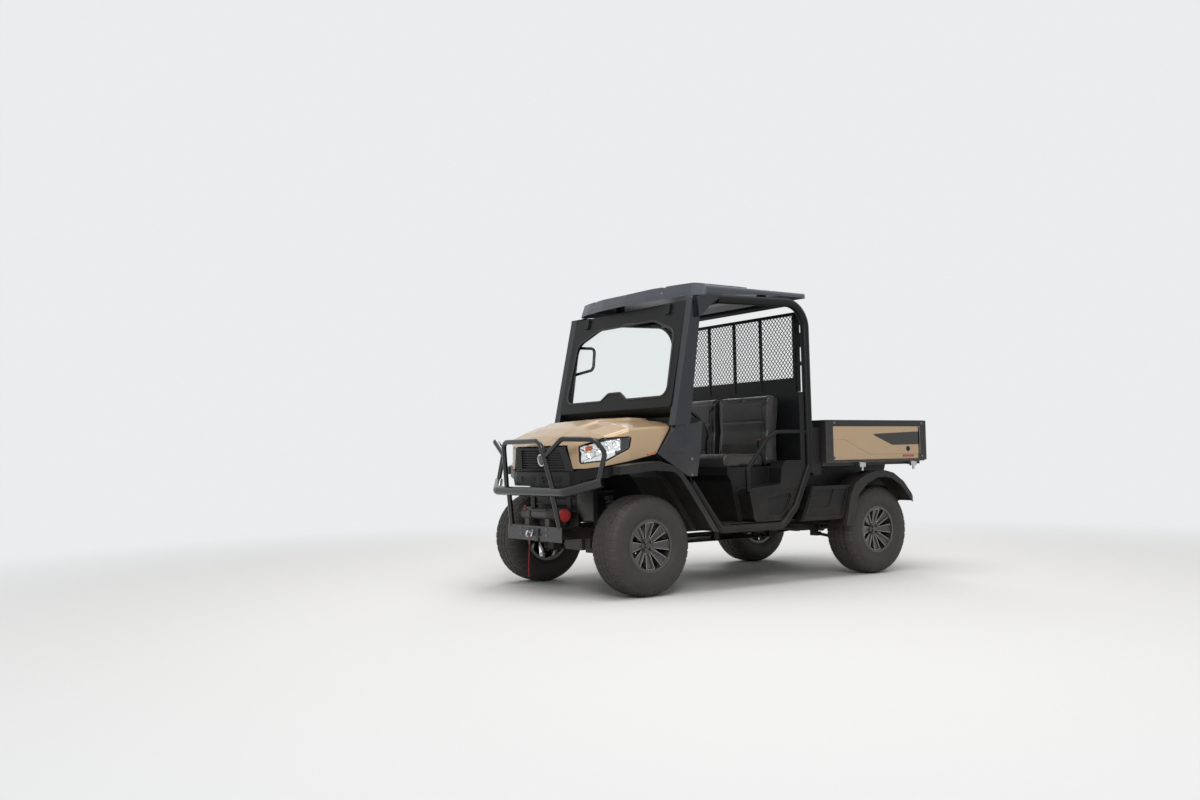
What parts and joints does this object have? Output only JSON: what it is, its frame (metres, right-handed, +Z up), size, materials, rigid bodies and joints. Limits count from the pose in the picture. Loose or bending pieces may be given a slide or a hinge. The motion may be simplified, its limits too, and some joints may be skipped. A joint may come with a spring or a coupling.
{
  "type": "side by side utility vehicle",
  "caption": "Two-seat side by side utility vehicle with a windscreen, hard roof, mesh rear screen, tipping cargo bed, tailgate, front guard and winch.",
  "frame": {"origin": "on the ground, under the middle of the vehicle's box", "axes": "+X to the vehicle's left, +Y to its rear, +Z up"},
  "size_m": [1.605, 3.08, 2.0234],
  "materials": {
    "tan_paint": "gloss metallic tan paint",
    "charcoal_paint": "satin charcoal paint",
    "black_steel": "satin black powder coat",
    "black_plastic": "textured black moulding",
    "roof_plastic": "grained slate moulding",
    "vinyl": "black vinyl",
    "tyre": "worn rubber",
    "alloy": "gloss black with machined edges",
    "cast": "painted casting",
    "galvanised": "zinc plated",
    "chrome": "polished",
    "glass": "clear laminated",
    "lamp_glass": "clear lens",
    "red_lens": "red lens",
    "red_web": "woven strap"
  },
  "bodies": {
    "chassis": {"frame": "black_steel", "hitch_receiver": "black_steel", "engine_block": "cast", "driveline": "cast", "suspension_arms": "black_steel", "shock_absorbers": "black_steel", "rear_hubs": "cast", "floor_pan": "black_plastic", "dash": "black_plastic", "seat_base": "black_plastic", "seat_cushions": "vinyl", "seat_backs": "vinyl", "rear_wall": "black_plastic", "hip_guards": "black_steel", "rops_frame": "black_steel", "front_pillars": "charcoal_paint", "roof": "roof_plastic", "windscreen_frame": "black_steel", "windscreen_glass": "glass", "rear_screen": "black_steel", "front_fascia": "black_plastic", "grille": "black_plastic", "front_fenders": "black_plastic", "cowl": "charcoal_paint", "rear_fenders": "black_plastic", "rear_side_panels": "black_plastic", "brush_guard": "black_steel", "winch": "black_plastic", "winch_hook": "chrome", "hook_strap": "red_web", "tail_lamps": "red_lens"},
    "hood": {"hood": "tan_paint", "headlamps": "lamp_glass"},
    "bed": {"bed_tub": "black_steel", "bed_side_panels": "tan_paint", "bed_latches": "galvanised"},
    "tailgate": {"tailgate": "tan_paint"},
    "lift_cylinder": {"lift_cylinder": "black_steel"},
    "lift_rod": {"lift_rod": "chrome"},
    "steering_wheel": {"steering_wheel": "black_plastic"},
    "steering_rack": {"steering_rack": "galvanised"},
    "knuckle_left": {"knuckle_left": "cast"},
    "knuckle_right": {"knuckle_right": "cast"},
    "wheel_front_left": {"tyre_front_left": "tyre", "rim_front_left": "alloy"},
    "wheel_front_right": {"tyre_front_right": "tyre", "rim_front_right": "alloy"},
    "wheel_rear_left": {"tyre_rear_left": "tyre", "rim_rear_left": "alloy"},
    "wheel_rear_right": {"tyre_rear_right": "tyre", "rim_rear_right": "alloy"}
  },
  "joints": [
    {"name": "steer_left", "type": "hinge", "parent": "chassis", "child": "knuckle_left", "pos_m": [0.5, -1.02, 0.3175], "axis": [0, 0, 1], "range_deg": [-30, 30]},
    {"name": "steer_right", "type": "hinge", "parent": "chassis", "child": "knuckle_right", "pos_m": [-0.5, -1.02, 0.3175], "axis": [0, 0, 1], "range_deg": [-30, 30]},
    {"name": "spin_front_left", "type": "hinge", "parent": "knuckle_left", "child": "wheel_front_left", "pos_m": [0.605, -1.02, 0.3175], "axis": [1, 0, 0], "continuous": true},
    {"name": "spin_front_right", "type": "hinge", "parent": "knuckle_right", "child": "wheel_front_right", "pos_m": [-0.605, -1.02, 0.3175], "axis": [1, 0, 0], "continuous": true},
    {"name": "spin_rear_left", "type": "hinge", "parent": "chassis", "child": "wheel_rear_left", "pos_m": [0.627, 1.025, 0.3175], "axis": [1, 0, 0], "continuous": true},
    {"name": "spin_rear_right", "type": "hinge", "parent": "chassis", "child": "wheel_rear_right", "pos_m": [-0.627, 1.025, 0.3175], "axis": [1, 0, 0], "continuous": true},
    {"name": "steering_rack_slide", "type": "slide", "parent": "chassis", "child": "steering_rack", "axis": [-1, 0, 0], "range_m": [-0.0472, 0.0472]},
    {"name": "steering_wheel_turn", "type": "hinge", "parent": "chassis", "child": "steering_wheel", "pos_m": [0.36, -0.43, 1.085], "axis": [0, 0.766, 0.6428], "range_deg": [-540.1, 540.1]},
    {"name": "hood_hinge", "type": "hinge", "parent": "chassis", "child": "hood", "pos_m": [0, -0.758, 1.098], "axis": [-1, 0, 0], "range_deg": [0, 40]},
    {"name": "bed_tip", "type": "hinge", "parent": "chassis", "child": "bed", "pos_m": [0, 1.41, 0.74], "axis": [-1, 0, 0], "range_deg": [0, 45]},
    {"name": "tailgate_hinge", "type": "hinge", "parent": "bed", "child": "tailgate", "pos_m": [0, 1.529, 0.823], "axis": [-1, 0, 0], "range_deg": [0, 90]},
    {"name": "lift_cylinder_foot", "type": "hinge", "parent": "chassis", "child": "lift_cylinder", "pos_m": [-0.325, 1.205, 0.44], "axis": [-1, 0, 0], "range_deg": [0, 6.31]},
    {"name": "lift_extend", "type": "slide", "parent": "lift_cylinder", "child": "lift_rod", "axis": [0, 0.1476, 0.989], "range_m": [0, 0.1155]}
  ],
  "couplings": [
    {"joint": "steer_right", "follows": "steer_left", "ratio": 1},
    {"joint": "steering_rack_slide", "follows": "steer_left", "m_per_rad": 0.09},
    {"joint": "steering_wheel_turn", "follows": "steer_left", "ratio": 18},
    {"joint": "lift_cylinder_foot", "follows": "bed_tip", "ratio": 0.14},
    {"joint": "lift_extend", "follows": "bed_tip", "m_per_rad": 0.14682}
  ]
}
